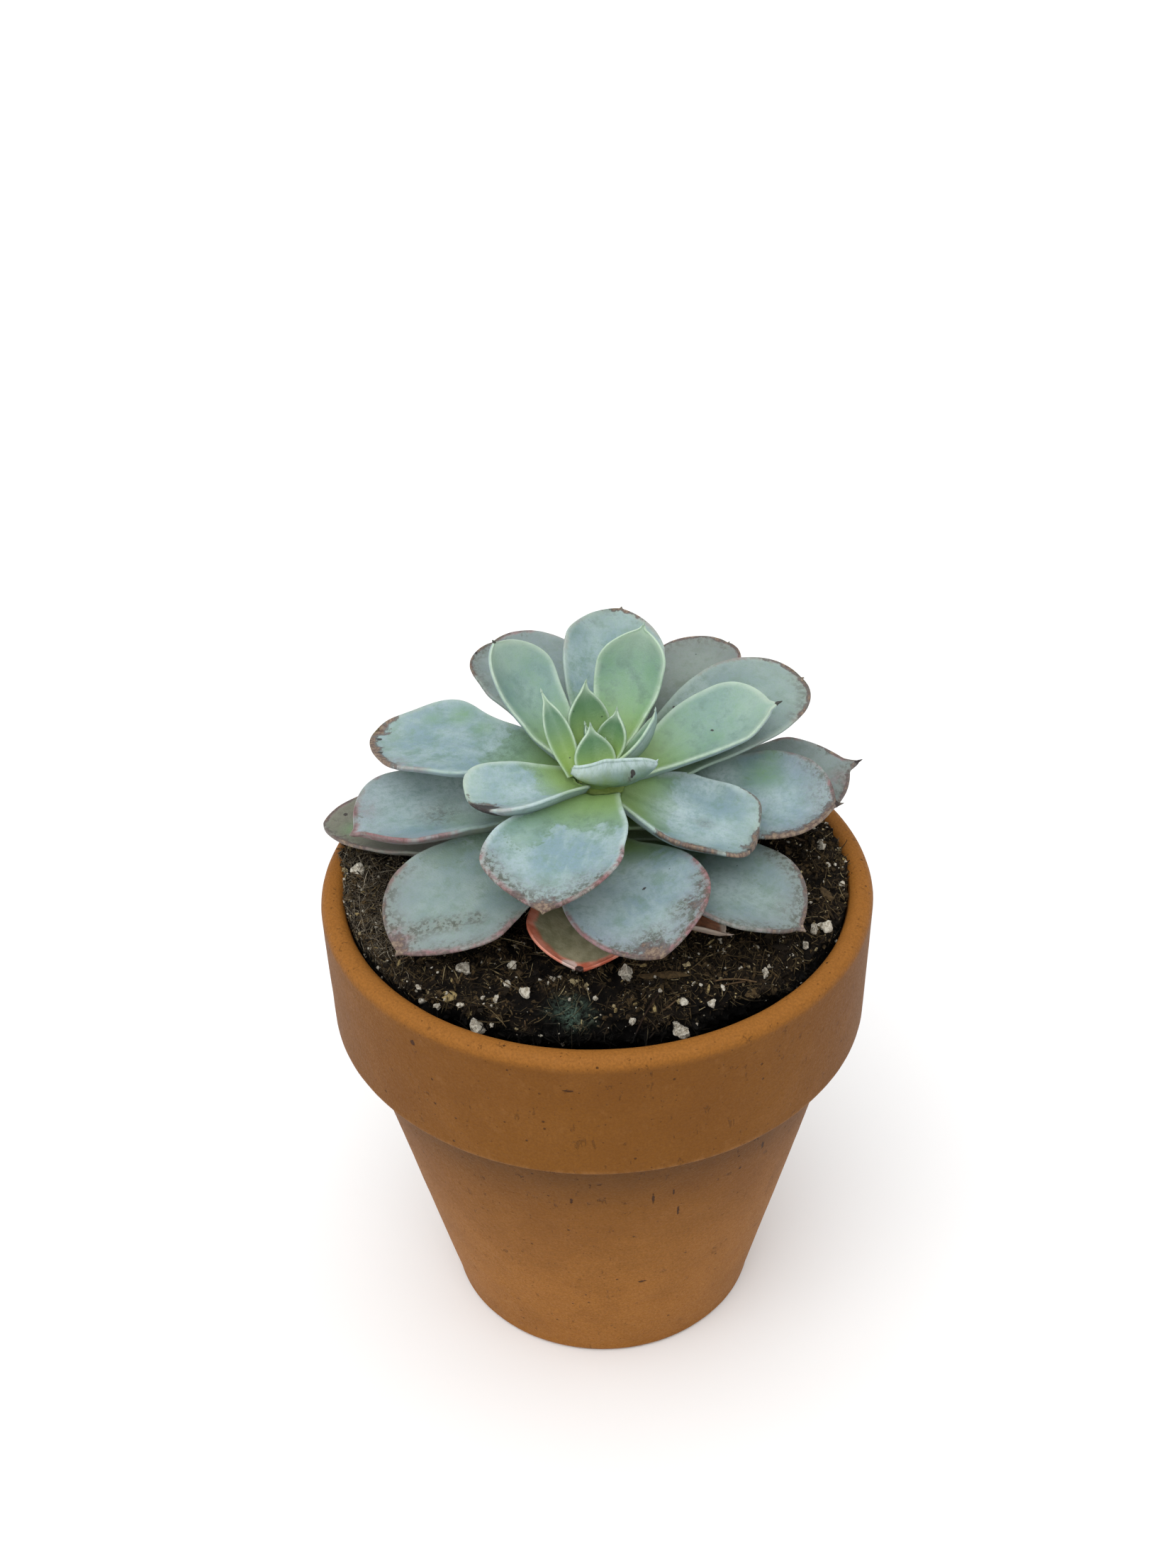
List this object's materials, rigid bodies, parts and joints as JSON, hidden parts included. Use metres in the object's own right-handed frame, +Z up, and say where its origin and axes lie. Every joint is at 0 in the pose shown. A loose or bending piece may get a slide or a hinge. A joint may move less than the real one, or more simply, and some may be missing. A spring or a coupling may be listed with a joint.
{
  "type": "potted succulent",
  "caption": "Rosette succulent with broad blue-grey leaves, rooted in soil in a round collared terracotta pot with a drain hole.",
  "frame": {"origin": "centre of the pot's base, on the surface it stands on", "axes": "+Z up, the front that the picture shows faces -Y, +X to its right"},
  "size_m": [0.11, 0.1102, 0.148],
  "materials": {
    "terracotta": "unglazed, fine-grained, matt",
    "soil": "crumbly and fibrous, with pale perlite grains",
    "stem": "smooth plant skin",
    "young_leaf": "smooth, waxy, with pale margins",
    "leaf": "powdery bloom over waxy skin, pink at the margins",
    "old_leaf": "dull, with a thick reddish margin",
    "dry_leaf": "dry, papery"
  },
  "bodies": {
    "root": {"pot": "terracotta", "soil": "soil", "stem": "stem", "heart": "young_leaf", "leaf_inner_back_left": "leaf", "leaf_inner_back_right": "leaf", "leaf_inner_right": "leaf", "leaf_inner_left": "leaf", "leaf_middle_front": "leaf", "leaf_middle_front_right": "leaf", "leaf_middle_back": "leaf", "leaf_middle_back_left": "leaf", "leaf_middle_back_right": "leaf", "leaf_middle_right": "leaf", "leaf_middle_left": "leaf", "leaf_outer_back_left": "leaf", "leaf_outer_back_right": "leaf", "leaf_outer_front": "leaf", "leaf_outer_right": "leaf", "leaf_outer_left": "leaf", "leaf_outer_front_left": "leaf", "leaf_outer_front_right": "leaf", "leaf_lower_back": "leaf", "leaf_lower_back_left": "leaf", "leaf_lower_right": "leaf", "leaf_old_front": "old_leaf", "leaf_dry_front": "dry_leaf"}
  },
  "joints": []
}
